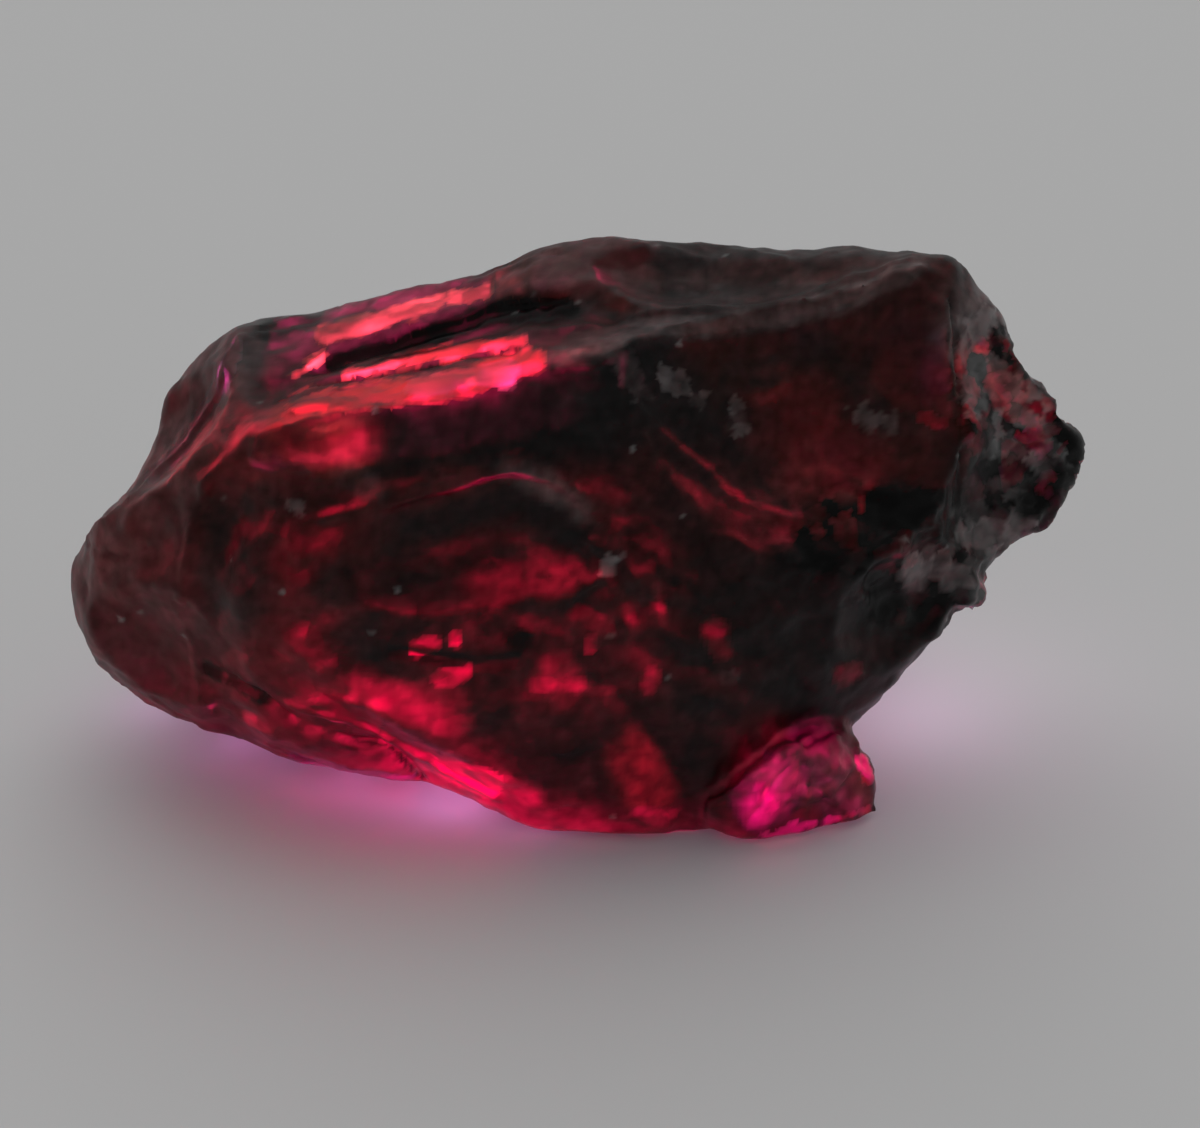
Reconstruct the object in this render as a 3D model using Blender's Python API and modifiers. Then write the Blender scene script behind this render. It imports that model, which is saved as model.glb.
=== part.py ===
"""Rough garnet: one broken piece of a clear red crystal, lying on its flat underside.

The stone is lofted through ten named lines that run from its left end to its right tip.
A foot and a chip grow out of it, and shell-shaped fractures are scooped out of its faces.
"""

import math

import bmesh
import bpy
import numpy as np
from mathutils import Matrix, Vector, noise

# The stone is shaped in mm and brought to metres at the end.
MM = 0.001
VIEW_TILT = math.radians(30.0)
LOWEST_SEEN = 2.25

LEFT_TIP = (-11.00, 5.55, -0.5)
RIGHT_TIP = (11.02, 8.36, 0.5)

# Lines on the front, as seen from 30 degrees above it: across, rise in that view, and depth, in mm.
ROOF = [
    (-10.84, 6.20, -0.2), (-10.50, 6.53, 0.0), (-9.84, 7.37, 0.5), (-9.40, 8.20, 0.8),
    (-9.02, 8.82, 1.0), (-8.98, 9.30, 1.2), (-8.54, 10.07, 1.5), (-8.08, 10.61, 1.7),
    (-7.20, 11.00, 1.8), (-5.67, 11.33, 1.9), (-3.91, 11.82, 2.0), (-2.27, 12.26, 2.0),
    (-0.84, 12.72, 2.0), (0.25, 12.97, 2.0), (0.73, 13.02, 2.0), (1.79, 12.92, 2.2),
    (3.10, 12.72, 2.4), (4.42, 12.62, 2.4), (5.73, 12.76, 2.4), (6.70, 12.63, 2.3),
    (7.51, 12.59, 2.2), (8.04, 12.46, 2.0), (8.37, 12.20, 1.9), (8.91, 11.64, 1.8),
    (9.35, 11.00, 1.6), (9.86, 9.98, 1.3), (10.34, 9.25, 1.1), (10.67, 8.88, 0.9),
]
CREST = [
    (-10.50, 6.23, -1.1), (-9.84, 6.71, -1.5), (-9.07, 7.37, -1.8), (-7.97, 8.36, -2.0),
    (-7.20, 8.46, -2.6), (-6.11, 8.64, -3.0), (-5.01, 8.75, -3.1), (-3.54, 9.30, -2.8),
    (-2.27, 9.47, -2.6), (-0.84, 10.00, -2.2), (0.73, 10.29, -2.0), (1.26, 10.64, -1.8),
    (2.25, 10.70, -1.7), (3.41, 10.88, -1.5), (4.57, 11.16, -1.1), (5.76, 11.47, -0.6),
    (6.35, 11.78, -0.1), (6.92, 12.15, 0.5), (7.34, 12.32, 0.8), (8.04, 12.28, 1.0),
    (8.48, 11.54, 0.9), (9.24, 10.66, 0.8), (9.86, 9.78, 0.8), (10.56, 8.86, 0.6),
]
BROW = [
    (-10.50, 5.72, -1.6), (-9.40, 6.38, -2.1), (-8.30, 7.15, -2.5), (-6.98, 7.37, -3.0),
    (-5.67, 7.59, -3.4), (-3.91, 7.92, -3.4), (-2.16, 8.25, -3.2), (-0.41, 8.46, -2.9),
    (1.35, 8.90, -2.6), (3.10, 9.23, -2.2), (4.86, 9.56, -1.6), (6.61, 9.89, -1.0),
    (8.26, 10.18, -0.6), (9.24, 9.67, 0.0), (10.12, 9.12, 0.3),
]
BELLY = [
    (-10.50, 4.74, -1.9), (-9.40, 4.74, -2.8), (-8.30, 4.85, -3.4), (-6.98, 4.96, -3.9),
    (-5.67, 5.18, -4.2), (-3.91, 5.39, -4.4), (-2.16, 5.39, -4.4), (-0.41, 5.39, -4.3),
    (1.35, 5.61, -4.1), (3.10, 6.05, -3.8), (4.86, 6.49, -3.3), (6.61, 6.93, -2.7),
    (8.26, 7.81, -1.8), (9.24, 8.03, -0.8), (10.12, 8.20, 0.0),
]
LAP = [
    (-10.50, 4.08, -1.5), (-9.40, 3.31, -2.4), (-8.30, 3.09, -3.0), (-6.98, 2.98, -3.7),
    (-5.67, 2.87, -4.2), (-3.91, 2.87, -4.6), (-2.16, 2.76, -4.8), (-0.41, 2.65, -4.9),
    (1.35, 2.76, -4.8), (2.66, 2.98, -4.6), (3.98, 3.42, -4.2), (5.30, 4.08, -3.7),
    (6.61, 4.96, -3.0), (7.93, 5.83, -2.3), (8.91, 6.71, -1.4), (9.86, 7.26, -0.6),
    (10.56, 7.81, 0.0),
]
HEM = [
    (-10.93, 4.74, -0.6), (-10.63, 3.84, -0.8), (-9.97, 3.07, -1.1), (-9.35, 2.76, -1.3),
    (-8.10, 2.37, -1.9), (-7.36, 2.28, -2.2), (-6.55, 1.86, -2.6), (-5.34, 1.49, -3.0),
    (-3.83, 1.27, -3.3), (-3.15, 1.29, -3.4), (-1.98, 0.90, -3.8), (-0.84, 0.31, -4.2),
    (0.73, 0.35, -4.3), (1.85, 0.26, -4.3), (2.66, 0.35, -4.2), (3.98, 1.12, -3.8),
    (4.86, 2.00, -3.4), (5.65, 2.76, -3.0), (6.37, 3.05, -2.8), (6.81, 3.38, -2.6),
    (7.47, 3.93, -2.3), (7.97, 4.28, -2.0), (8.21, 4.91, -1.6), (8.91, 5.96, -1.0),
    (9.70, 6.58, -0.6), (10.36, 7.00, -0.1), (10.60, 7.37, 0.1), (10.80, 7.81, 0.2),
]

# Lines on the hidden sides: x, y and z, in mm. The two keel lines dip under the resting face.
KEEL_FRONT = [
    (-10.4, -0.1, 2.90), (-9.4, -0.4, 1.60), (-8.0, -0.7, 0.90), (-6.0, -1.2, 0.20),
    (-4.0, -0.9, -0.15), (-2.8, -1.1, -0.25), (-1.8, -1.9, -0.25), (-0.8, -2.8, -0.25), (2.0, -3.1, -0.25),
    (3.2, -2.8, -0.20), (4.5, -2.2, 0.20), (5.8, -1.7, 1.20), (7.0, -1.2, 2.40),
    (8.0, -0.7, 3.70), (9.2, -0.1, 5.20), (10.2, 0.3, 6.00),
]
KEEL_BACK = [
    (-10.4, 0.8, 3.30), (-9.4, 1.9, 2.20), (-8.0, 3.6, 1.20), (-6.5, 5.4, 0.30),
    (-4.5, 6.9, -0.20), (-2.0, 7.7, -0.25), (0.0, 7.4, -0.25), (2.0, 6.5, -0.25),
    (4.0, 5.2, -0.20), (5.0, 4.6, 0.20), (6.2, 3.8, 1.30), (7.4, 3.2, 2.70),
    (8.4, 2.5, 4.20), (9.4, 1.9, 5.50), (10.3, 1.2, 6.30),
]
RUMP = [
    (-10.5, 0.9, 4.10), (-9.4, 2.4, 3.40), (-8.0, 4.4, 2.60), (-6.5, 6.2, 1.90),
    (-4.5, 7.7, 1.50), (-2.0, 8.5, 1.30), (0.0, 8.2, 1.50), (2.0, 7.3, 2.00),
    (4.0, 6.2, 2.60), (6.0, 5.1, 3.60), (7.5, 4.2, 4.70), (8.8, 3.2, 5.80),
    (9.8, 2.2, 6.50), (10.5, 1.4, 6.80),
]
BACK = [
    (-10.5, 0.6, 4.60), (-9.4, 1.9, 5.00), (-8.5, 2.8, 5.90), (-7.0, 3.8, 6.30),
    (-5.0, 4.6, 6.50), (-3.0, 5.0, 6.60), (-1.0, 5.0, 6.90), (1.0, 4.8, 7.30),
    (3.0, 4.7, 7.60), (5.0, 4.4, 7.90), (6.5, 4.0, 8.20), (8.0, 3.4, 8.20),
    (9.0, 2.8, 7.90), (9.9, 1.9, 7.50), (10.5, 1.1, 6.90),
]

# Points of the loft: stations from end to end, and steps from each line to the next, round the section.
STATIONS = 110
STEPS = (14, 8, 9, 9, 9, 7, 9, 8, 9, 9)
ROUNDNESS = 0.55
CROWDING = 0.45
TIP_REACH = 1.0

# Low relief of the whole skin: height, and size of its lumps, in mm. The foot has its own.
RELIEF = ((0.16, 2.6), (0.06, 1.0))
FOOT_RELIEF = ((0.06, 1.0),)
BODY_SEED = 0.0
FOOT_SEED = 7.0

# How sharply a crease rises to its line, and how far a face may turn from the viewer before its
# creases fade out.
CREASE_SHARPNESS = 1.3
FACING_FADE = 0.3

# Ridges and grooves of the front, as seen from the front: their points across and up, in mm,
# then the height (a groove's is negative) and the width of the slope above and below the line.
CREASES = {
    "left_ridge": (
        [(-7.20, 10.77), (-7.60, 9.78), (-7.97, 9.12), (-8.30, 8.57), (-8.74, 7.92), (-9.22, 7.37), (-10.49, 6.49)],
        0.30, 0.55, 0.60,
    ),
    "second_ridge": (
        [(-7.49, 7.81), (-7.91, 7.59), (-8.04, 6.93), (-8.19, 6.38), (-8.41, 5.94), (-8.63, 5.39), (-8.30, 4.08)],
        0.16, 0.35, 0.30,
    ),
    "end_valley": (
        [(-7.31, 7.00), (-7.65, 6.30), (-7.80, 5.61), (-7.85, 4.74), (-7.70, 3.86), (-7.50, 2.98)],
        -0.30, 0.80, 0.80,
    ),
    "long_groove": (
        [(-6.60, 9.60), (-6.11, 9.89), (-5.34, 10.33), (-4.57, 10.59), (-3.48, 10.70), (-2.38, 10.92),
         (-1.28, 11.21), (-0.41, 11.43), (0.80, 11.50)],
        -0.42, 0.50, 0.42,
    ),
    "short_groove": (
        [(-6.30, 9.20), (-5.45, 9.56), (-4.79, 9.82), (-3.70, 10.09), (-2.38, 10.31), (-1.06, 10.48)],
        -0.14, 0.16, 0.22,
    ),
    "strip_ridge": (
        [(-6.60, 8.60), (-5.60, 9.00), (-4.40, 9.25), (-2.90, 9.30), (-1.20, 9.75), (0.30, 10.15)],
        0.22, 0.80, 0.35,
    ),
    "crest_bevel": (
        [(-0.40, 10.75), (1.00, 11.15), (2.20, 11.35), (3.60, 11.50), (4.90, 11.85), (6.20, 12.15)],
        -0.26, 0.60, 0.40,
    ),
    "arch_ridge": (
        [(-4.35, 6.93), (-3.48, 7.26), (-2.82, 7.48), (-1.72, 7.92), (-1.06, 8.11), (-0.63, 8.03),
         (-0.19, 7.76), (0.25, 7.30), (0.38, 6.82)],
        0.26, 0.90, 0.22,
    ),
    "breast_step": (
        [(-5.60, 6.10), (-4.20, 6.30), (-2.60, 6.10), (-1.20, 5.60), (0.20, 5.30), (1.40, 5.60)],
        0.12, 0.60, 0.25,
    ),
    "lap_fold": (
        [(-7.36, 3.30), (-5.90, 2.55), (-4.80, 2.30), (-4.10, 1.90), (-3.30, 1.45)],
        -0.20, 0.35, 0.30,
    ),
    "lap_ridge": (
        [(-5.90, 4.10), (-4.70, 3.30), (-3.60, 2.60), (-2.40, 1.90), (-1.20, 1.20)],
        0.20, 0.60, 0.40,
    ),
    "seat_groove": (
        [(0.90, 3.10), (1.60, 2.40), (1.90, 1.60), (2.10, 0.90), (2.20, 0.30)],
        -0.22, 0.45, 0.45,
    ),
    "belly_ledge": (
        [(1.20, 4.60), (2.60, 4.20), (4.00, 4.60), (5.20, 5.30), (6.60, 5.80), (7.80, 6.20)],
        0.20, 0.70, 0.30,
    ),
    "right_groove": (
        [(8.15, 12.00), (8.19, 10.88), (8.12, 9.56), (8.21, 8.68), (8.30, 8.03)],
        -0.22, 0.25, 0.25,
    ),
}

# Chipped places: centre across, up and in depth, reach of each, size of the chips and their slope.
# Chips have a steep edge towards each other, and fade out towards the edge of their place.
CHIP_EDGE = 4
CHIP_FADE = 3
CHIPPED = {
    "right_end": ((9.6, 9.0, 0.2), (2.2, 2.6, 3.5), 1.30, 0.42),
    "lower_right": ((6.6, 6.3, -2.6), (3.2, 2.0, 2.2), 0.90, 0.38),
    "knob": ((-9.8, 5.2, -1.0), (1.5, 2.4, 2.2), 1.50, 0.14),
    "underside": ((7.6, 3.8, 0.5), (3.2, 2.4, 3.4), 1.20, 0.30),
}

# The foot at the front right: corners as seen from the front, then the hidden ones.
FOOT_SEEN = [
    (5.65, 2.76, -2.9), (6.39, 1.47, -3.4), (6.44, 1.18, -3.6), (6.33, 0.61, -3.6),
    (5.84, 0.42, -3.85), (4.81, 0.15, -4.3), (3.91, 0.00, -4.6), (3.43, 0.07, -4.5),
    (3.65, 1.45, -4.9), (4.64, 2.15, -4.6), (5.50, 1.67, -4.3), (2.66, 0.79, -4.8),
    (2.75, 0.22, -4.3), (5.84, 2.30, -3.1), (6.10, 1.86, -3.2),
]
FOOT_HIDDEN = [(6.1, -1.6, -0.1), (4.8, -0.8, -0.1), (3.2, -1.2, -0.1), (5.1, -1.3, 2.2)]
FOOT_FINENESS = 2

# A chip hangs on under the right end.
CHIP_AT = (8.52, -0.75, 4.22)
CHIP_SIZE = (0.38, 0.42, 0.34)

# Shell-shaped fractures of the front: place as seen from the front, with its depth, then outward
# direction, direction along, length, width and depth, in mm.
FRONT_SHELLS = {
    "front_shell": ((5.1, 10.3, -1.25), (0.22, -0.86, 0.46), (1, 0, 0), 8.8, 8.0, 0.90),
    "breast_shell": ((-1.4, 6.45, -3.9), (-0.05, -0.93, 0.36), (1, 0, 0.2), 5.6, 2.6, 0.36),
    "shoulder_shell": ((-8.75, 9.0, -0.1), (-0.74, -0.24, 0.62), (0.6, -0.3, 0.7), 4.4, 3.4, 0.50),
    "roof_hollow": ((3.4, 11.95, 0.7), (0.0, -0.12, 0.99), (1, 0.1, 0), 4.6, 2.0, 0.30),
    "rim_shell": ((7.3, 5.6, -2.5), (0.40, -0.90, -0.10), (1, 0.3, 0.6), 3.4, 2.6, 0.30),
    "tip_shell": ((9.4, 8.3, -0.5), (0.40, -0.90, 0.10), (0.4, 0.1, 1), 3.0, 2.2, 0.22),
    "end_shell": ((9.0, 10.3, 0.6), (0.55, -0.72, 0.42), (-0.3, 0.1, 1), 2.8, 2.0, 0.20),
    "knob_shell": ((-9.6, 4.6, -2.2), (-0.35, -0.92, -0.15), (1, 0, -0.3), 2.8, 2.4, 0.14),
}

# Those of the hidden sides: place as x, y and z.
BACK_SHELLS = {
    "back_shell": ((2.2, 6.0, 4.7), (0.16, 0.84, 0.50), (1, 0, 0), 8.6, 5.6, 0.62),
    "back_left_shell": ((-4.9, 6.1, 4.2), (-0.24, 0.82, 0.52), (1, 0, 0.1), 7.2, 5.2, 0.50),
    "back_right_shell": ((7.2, 3.9, 6.6), (0.50, 0.85, 0.08), (1, -0.3, 0), 5.4, 4.6, 0.50),
    "heel_shell": ((-1.2, 8.3, 0.9), (0.06, 0.98, -0.16), (1, 0, 0), 6.4, 2.6, 0.30),
    "heel_right_shell": ((5.0, 5.3, 2.2), (0.40, 0.86, -0.32), (1, 0, 0.4), 5.4, 3.4, 0.40),
    "under_right_shell": ((8.0, 0.6, 3.2), (0.70, -0.10, -0.70), (0.5, 0, 0.9), 4.6, 3.6, 0.42),
    "under_left_shell": ((-8.2, 0.9, 1.1), (-0.45, -0.10, -0.88), (1, 0, -0.4), 5.0, 4.0, 0.40),
    "roof_back_shell": ((-2.6, 3.7, 8.2), (-0.10, 0.72, 0.68), (1, 0, 0.1), 6.0, 2.6, 0.26),
}
CUTTER_FINENESS = 5

# Step of the even skin before the fractures are cut, in mm, and triangles of the finished stone.
SKIN_STEP = 0.20
TRIANGLES = 9400

# Points this close to the resting face are taken as lying on it, in mm.
CUT_REACH = 0.001


def clear_scene():
    for obj in list(bpy.data.objects):
        bpy.data.objects.remove(obj)


def seen(across, rise, depth):
    """The place, in mm, of a point that a viewer 30 degrees above the front sees at that rise and depth."""
    height = (rise - LOWEST_SEEN - depth * math.sin(VIEW_TILT)) / math.cos(VIEW_TILT)
    return (across, depth, height)


def long_lines():
    """The ten lines in order round the stone, each as its x, y and z columns from tip to tip."""
    front = [[seen(*p) for p in line] for line in (ROOF, CREST, BROW, BELLY, LAP, HEM)]
    lines = front + [KEEL_FRONT, KEEL_BACK, RUMP, BACK]
    ends = seen(*LEFT_TIP), seen(*RIGHT_TIP)
    return [np.array([ends[0], *line, ends[1]]).T for line in lines]


def stations():
    """Places along X, closer together towards the two tips, where the stone narrows fast."""
    share = np.linspace(0.0, 1.0, STATIONS + 2)[1:-1]
    crowded = (1.0 - np.cos(math.pi * share)) / 2.0
    share = share + CROWDING * (crowded - share)
    return LEFT_TIP[0] + share * (RIGHT_TIP[0] - LEFT_TIP[0])


def section(corners):
    """A closed section through its corners, bulging a little between them."""
    points = []
    for i, steps in enumerate(STEPS):
        before, start, end, after = (corners[(i + k) % len(corners)] for k in (-1, 0, 1, 2))
        for share in np.arange(steps) / steps:
            flat = start + share * (end - start)
            curved = 0.5 * (
                2 * start
                + (end - before) * share
                + (2 * before - 5 * start + 4 * end - after) * share**2
                + (3 * start - before - 3 * end + after) * share**3
            )
            points.append(flat + ROUNDNESS * (curved - flat))
    return points


def loft():
    """The body of the stone, as rings of points joined from tip to tip."""
    lines = long_lines()
    bm = bmesh.new()
    rings = []
    for x in stations():
        corners = [np.array([x, np.interp(x, *line[[0, 1]]), np.interp(x, *line[[0, 2]])]) for line in lines]
        rings.append([bm.verts.new(p) for p in section(corners)])
    around = len(rings[0])
    for ring, following in zip(rings, rings[1:]):
        for i in range(around):
            j = (i + 1) % around
            bm.faces.new((ring[i], ring[j], following[j], following[i]))
    for ring, tip in ((rings[0], LEFT_TIP), (rings[-1], RIGHT_TIP)):
        end = bm.verts.new(seen(*tip))
        for i in range(around):
            bm.faces.new((ring[i], end, ring[(i + 1) % around]))
    bmesh.ops.recalc_face_normals(bm, faces=bm.faces)
    return bm


def as_seen(bm):
    """Each point's place across, up and in depth as seen from the front, and how far it faces the viewer."""
    bm.normal_update()
    places = np.array([v.co for v in bm.verts])
    normals = np.array([v.normal for v in bm.verts])
    up = LOWEST_SEEN + places[:, 2] * math.cos(VIEW_TILT) + places[:, 1] * math.sin(VIEW_TILT)
    facing = normals[:, 2] * math.sin(VIEW_TILT) - normals[:, 1] * math.cos(VIEW_TILT)
    return np.array([places[:, 0], up, places[:, 1]]).T, normals, facing


def move_out(bm, normals, heights):
    """Moves each point along its normal, less and less towards the two tips, where the stone is thin."""
    for vert, normal, height in zip(bm.verts, normals, heights):
        room = min(1.0, (vert.co.x - LEFT_TIP[0]) / TIP_REACH, (RIGHT_TIP[0] - vert.co.x) / TIP_REACH)
        vert.co += Vector(normal * height * max(0.0, room))


def roughen(bm, relief, seed):
    """Moves each point along its normal by layers of noise, each with its height and lump size."""
    _, normals, _ = as_seen(bm)
    heights = [
        sum(h * noise.noise(v.co / size + Vector((seed, h, size))) for h, size in relief) for v in bm.verts
    ]
    move_out(bm, normals, heights)


def side_distance(places, line):
    """Distance of each place from a line of points, above it positive and below it negative."""
    nearest = np.full(len(places), np.inf)
    for start, end in zip(np.array(line[:-1]), np.array(line[1:])):
        along = end - start
        share = np.clip((places - start) @ along / (along @ along), 0.0, 1.0)
        apart = places - (start + share[:, None] * along)
        distance = np.hypot(apart[:, 0], apart[:, 1])
        side = np.sign(along[0] * apart[:, 1] - along[1] * apart[:, 0])
        closer = distance < np.abs(nearest)
        nearest[closer] = (distance * side)[closer]
    return nearest


def crease(bm):
    """Raises the ridges and sinks the grooves of the front, where it faces the viewer."""
    places, normals, facing = as_seen(bm)
    heights = np.zeros(len(places))
    for line, height, above, below in CREASES.values():
        line = line if line[-1][0] > line[0][0] else line[::-1]
        distance = side_distance(places[:, :2], line)
        slope = np.where(distance > 0, distance / above, -distance / below)
        heights += height * np.clip(1.0 - slope, 0.0, 1.0) ** CREASE_SHARPNESS
    move_out(bm, normals, heights * np.clip(facing / FACING_FADE, 0.0, 1.0))


def chip(bm):
    """Breaks the rough places into small flat chips, each tilted its own way."""
    bm.verts.ensure_lookup_table()
    places, normals, _ = as_seen(bm)
    heights = np.zeros(len(places))
    for centre, reach, size, slope in CHIPPED.values():
        away = np.sqrt((((places - centre) / reach) ** 2).sum(1))
        for i in np.flatnonzero(away < 1.0):
            place = bm.verts[i].co / size
            (near, next_near, *_), (middle, *_) = noise.voronoi(place)
            tilt = noise.cell_vector(middle * 7.0) - Vector((0.5, 0.5, 0.5))
            fade = min(1.0, CHIP_EDGE * (next_near - near), CHIP_FADE * (1.0 - away[i]))
            heights[i] += 2 * slope * size * tilt.dot(place - middle) * fade
    move_out(bm, normals, heights)


def cut_flat(bm):
    """Cuts off what lies under Z = 0 and closes the cut with one flat face."""
    geometry = bm.verts[:] + bm.edges[:] + bm.faces[:]
    cut = bmesh.ops.bisect_plane(
        bm, geom=geometry, dist=CUT_REACH, plane_co=(0, 0, 0), plane_no=(0, 0, -1), clear_outer=True
    )
    for vert in bm.verts:
        vert.co.z = max(0.0, vert.co.z)
    edges = [e for e in cut["geom_cut"] if isinstance(e, bmesh.types.BMEdge)]
    bmesh.ops.contextual_create(bm, geom=edges)
    bmesh.ops.recalc_face_normals(bm, faces=bm.faces)


def as_object(name, bm, collection):
    mesh = bpy.data.meshes.new(name)
    bm.to_mesh(mesh)
    bm.free()
    obj = bpy.data.objects.new(name, mesh)
    collection.objects.link(obj)
    return obj


def as_cutter(obj):
    obj.hide_render = True
    obj.display_type = "WIRE"
    return obj


def make_foot(collection):
    """The lump that the stone stands on at the front right, as the hull of its corners."""
    bm = bmesh.new()
    for place in [seen(*p) for p in FOOT_SEEN] + FOOT_HIDDEN:
        bm.verts.new(place)
    bmesh.ops.convex_hull(bm, input=bm.verts)
    loose = [v for v in bm.verts if not v.link_faces]
    bmesh.ops.delete(bm, geom=loose, context="VERTS")
    bmesh.ops.triangulate(bm, faces=bm.faces)
    for _ in range(FOOT_FINENESS):
        bmesh.ops.subdivide_edges(bm, edges=bm.edges, cuts=1, use_grid_fill=True)
    roughen(bm, FOOT_RELIEF, FOOT_SEED)
    return as_cutter(as_object("foot", bm, collection))


def make_chip(collection):
    bm = bmesh.new()
    bmesh.ops.create_icosphere(bm, subdivisions=2, radius=1.0)
    bmesh.ops.scale(bm, vec=CHIP_SIZE, verts=bm.verts)
    bmesh.ops.translate(bm, vec=CHIP_AT, verts=bm.verts)
    return as_cutter(as_object("chip", bm, collection))


def make_shell(name, place, outward, along, length, width, depth, collection):
    """A cutter whose shallow cap scoops out a shell-shaped fracture of that length, width and depth."""
    radius = ((width / 2) ** 2 + depth**2) / (2 * depth)
    out = Vector(outward).normalized()
    side = out.cross(Vector(along)).normalized()
    turn = Matrix((side.cross(out), side, out)).transposed().to_4x4()
    stretch = Matrix.Diagonal((radius * length / width, radius, radius, 1.0))
    centre = Vector(place) + out * (radius - depth)
    bm = bmesh.new()
    bmesh.ops.create_icosphere(bm, subdivisions=CUTTER_FINENESS, radius=1.0)
    bmesh.ops.transform(bm, matrix=Matrix.Translation(centre) @ turn @ stretch, verts=bm.verts)
    return as_cutter(as_object(name, bm, collection))


def combine(obj, other, operation):
    modifier = obj.modifiers.new(other.name, "BOOLEAN")
    modifier.operation = operation
    modifier.object = other


def stone_material():
    """Clear dark red silicate."""
    material = bpy.data.materials.new("clear_red")
    material.use_nodes = True
    shader = material.node_tree.nodes["Principled BSDF"]
    shader.inputs["Base Color"].default_value = (0.28, 0.01, 0.04, 1.0)
    shader.inputs["Roughness"].default_value = 0.12
    shader.inputs["Metallic"].default_value = 0.0
    shader.inputs["IOR"].default_value = 1.76
    shader.inputs["Transmission Weight"].default_value = 1.0
    return material


def apply_modifiers(obj):
    graph = bpy.context.evaluated_depsgraph_get()
    mesh = bpy.data.meshes.new_from_object(obj.evaluated_get(graph))
    obj.modifiers.clear()
    obj.data = mesh


def even_out(obj):
    """Gives the body one even skin, with no face folded through another."""
    modifier = obj.modifiers.new("even", "REMESH")
    modifier.mode = "VOXEL"
    modifier.voxel_size = SKIN_STEP
    apply_modifiers(obj)


def thin_out(obj):
    """Joins the small triangles that the fractures left, until the wanted number remains."""
    obj.data.calc_loop_triangles()
    modifier = obj.modifiers.new("thin", "DECIMATE")
    modifier.ratio = min(1.0, TRIANGLES / len(obj.data.loop_triangles))
    apply_modifiers(obj)


def rest_flat(obj):
    """Cuts the resting face, puts the origin on it, under the middle of the stone's box, and goes to metres."""
    bm = bmesh.new()
    bm.from_mesh(obj.data)
    cut_flat(bm)
    low, high = (np.array(f([v.co for v in bm.verts], axis=0)) for f in (np.min, np.max))
    bmesh.ops.translate(bm, vec=Vector((-(low[0] + high[0]) / 2, -(low[1] + high[1]) / 2, 0.0)), verts=bm.verts)
    bmesh.ops.scale(bm, vec=(MM, MM, MM), verts=bm.verts)
    bm.to_mesh(obj.data)
    bm.free()


def main():
    clear_scene()
    parts = bpy.data.collections.new("rough_garnet")
    cutters = bpy.data.collections.new("cutters")
    for collection in (parts, cutters):
        bpy.context.scene.collection.children.link(collection)
    body = loft()
    roughen(body, RELIEF, BODY_SEED)
    crease(body)
    chip(body)
    garnet = as_object("garnet", body, parts)
    even_out(garnet)
    combine(garnet, make_foot(cutters), "UNION")
    combine(garnet, make_chip(cutters), "UNION")
    for name, (place, *shape) in FRONT_SHELLS.items():
        combine(garnet, make_shell(name, seen(*place), *shape, cutters), "DIFFERENCE")
    for name, shape in BACK_SHELLS.items():
        combine(garnet, make_shell(name, *shape, cutters), "DIFFERENCE")
    apply_modifiers(garnet)
    thin_out(garnet)
    rest_flat(garnet)
    garnet.data.materials.clear()
    garnet.data.materials.append(stone_material())


main()
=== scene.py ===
"""Rough garnet on plain pale paper, lit softly from behind and above, so that the red glows through.

Metres, +Z up. The stone lies on Z = 0 with its scooped front facing -Y, and the camera looks down on it.
"""

import math

import bpy
import numpy as np
from mathutils import Matrix, Vector, noise
from mathutils.bvhtree import BVHTree


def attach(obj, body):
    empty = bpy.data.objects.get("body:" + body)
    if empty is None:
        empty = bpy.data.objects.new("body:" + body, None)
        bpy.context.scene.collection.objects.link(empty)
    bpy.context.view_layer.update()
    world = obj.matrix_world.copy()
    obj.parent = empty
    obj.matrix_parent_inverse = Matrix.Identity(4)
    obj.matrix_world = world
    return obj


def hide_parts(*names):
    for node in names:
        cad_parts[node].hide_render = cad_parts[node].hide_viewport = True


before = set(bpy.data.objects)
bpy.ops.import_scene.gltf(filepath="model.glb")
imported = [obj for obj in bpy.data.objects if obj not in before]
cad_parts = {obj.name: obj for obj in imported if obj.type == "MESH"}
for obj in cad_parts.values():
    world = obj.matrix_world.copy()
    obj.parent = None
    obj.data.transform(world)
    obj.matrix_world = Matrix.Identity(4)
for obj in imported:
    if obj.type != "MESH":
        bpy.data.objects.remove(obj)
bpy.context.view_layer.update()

# The stone
# One broken piece of clear dark red garnet. Its skin is all old fracture: shell-shaped scoops,
# flutes on the top left, chips on the right end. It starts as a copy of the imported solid, which
# gets an even skin of small faces and is then carved in mm, as with a fine burr.

MM = 0.001
MERGE_WITHIN = 0.0005
SKIN_STEP = 0.105
SOFTENING = 4


def select_only(obj):
    bpy.ops.object.select_all(action="DESELECT")
    obj.select_set(True)
    bpy.context.view_layer.objects.active = obj


def apply_all(obj):
    select_only(obj)
    for modifier in list(obj.modifiers):
        bpy.ops.object.modifier_apply(modifier=modifier.name)


cad_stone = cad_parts["garnet"]
stone = cad_stone.copy()
stone.data = cad_stone.data.copy()
stone.name = "garnet_stone"
stone.parent = None
bpy.context.scene.collection.objects.link(stone)
for key in list(stone.keys()):
    del stone[key]
select_only(stone)
stone.data.transform(Matrix.Scale(1 / MM, 4))
bpy.ops.object.mode_set(mode="EDIT")
bpy.ops.mesh.select_all(action="SELECT")
bpy.ops.mesh.remove_doubles(threshold=MERGE_WITHIN)
bpy.ops.object.mode_set(mode="OBJECT")

skin = stone.modifiers.new("skin", "REMESH")
skin.mode = "VOXEL"
skin.voxel_size = SKIN_STEP
soften = stone.modifiers.new("soften", "SMOOTH")
soften.factor = 0.5
soften.iterations = SOFTENING
apply_all(stone)

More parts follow.
